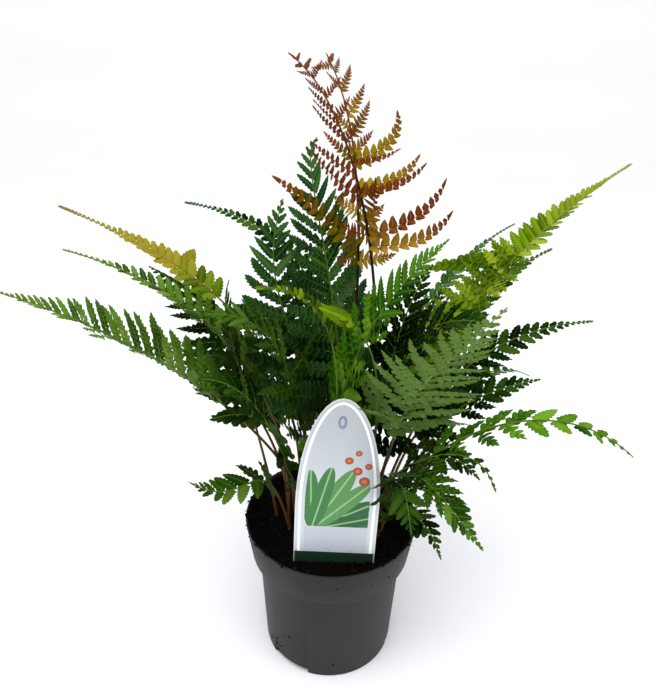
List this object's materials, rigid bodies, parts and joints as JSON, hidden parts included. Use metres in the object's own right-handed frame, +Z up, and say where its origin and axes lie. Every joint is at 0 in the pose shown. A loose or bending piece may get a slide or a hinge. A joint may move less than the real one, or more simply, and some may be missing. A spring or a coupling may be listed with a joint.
{
  "type": "autumn fern",
  "caption": "Potted autumn fern: a crown of arching green fronds and upright young bronze ones in a round nursery pot of peat, with an arched plant label at the front.",
  "frame": {"origin": "centre of the pot's underside, on the floor plane", "axes": "+Z up along the pot's axis, -Y towards the front, where the label faces, +X to the right seen from the front"},
  "size_m": [0.374, 0.3011, 0.442],
  "materials": {
    "pot": "satin, dark warm grey",
    "soil": "damp peat, near black with brown fibres",
    "label": "satin print on thin white plastic",
    "leaf_bronze": "young leaf, rust brown",
    "leaf_gold": "young leaf, gold turning rust",
    "leaf_blue": "satin leaf, bluish green",
    "leaf_light": "satin leaf, light green",
    "leaf_lime": "satin leaf, yellow green",
    "leaf_pale": "matte leaf underside, sage green",
    "leaf_yellow": "satin leaf, yellow",
    "leaf_bright": "satin leaf, bright green",
    "leaf_green": "satin leaf, mid green",
    "leaf_dark": "satin leaf, dark green"
  },
  "bodies": {
    "root": {"pot": "pot", "soil": "soil", "label": "label", "frond_bronze_front": "leaf_bronze", "frond_bronze_back": "leaf_gold", "frond_upright": "leaf_blue", "frond_left_long": "leaf_light", "frond_right_bright": "leaf_lime", "frond_front_pale": "leaf_pale", "frond_left_gold": "leaf_yellow", "frond_left_bright": "leaf_light", "frond_right_droop": "leaf_bright", "frond_right_low": "leaf_green", "frond_left_arch": "leaf_lime", "frond_centre_light": "leaf_light", "frond_centre_tip": "leaf_lime", "frond_left_inner": "leaf_blue", "frond_left_far": "leaf_dark", "frond_left_dark": "leaf_dark", "frond_left_stalk": "leaf_green", "frond_left_low": "leaf_dark", "frond_left_small": "leaf_green", "frond_right_far": "leaf_blue", "frond_right_mid": "leaf_green", "frond_right": "leaf_dark", "frond_right_dark": "leaf_dark", "frond_right_thin": "leaf_dark", "frond_right_inner": "leaf_dark", "frond_centre_dark": "leaf_dark", "frond_centre_deep": "leaf_dark", "frond_centre_right": "leaf_dark", "frond_centre_back": "leaf_green", "frond_back": "leaf_green", "frond_back_left": "leaf_dark", "frond_back_right": "leaf_dark", "frond_back_low_left": "leaf_green", "frond_back_low_right": "leaf_green", "frond_left_shade": "leaf_dark", "frond_right_shade": "leaf_dark", "frond_front_low": "leaf_dark"}
  },
  "joints": []
}
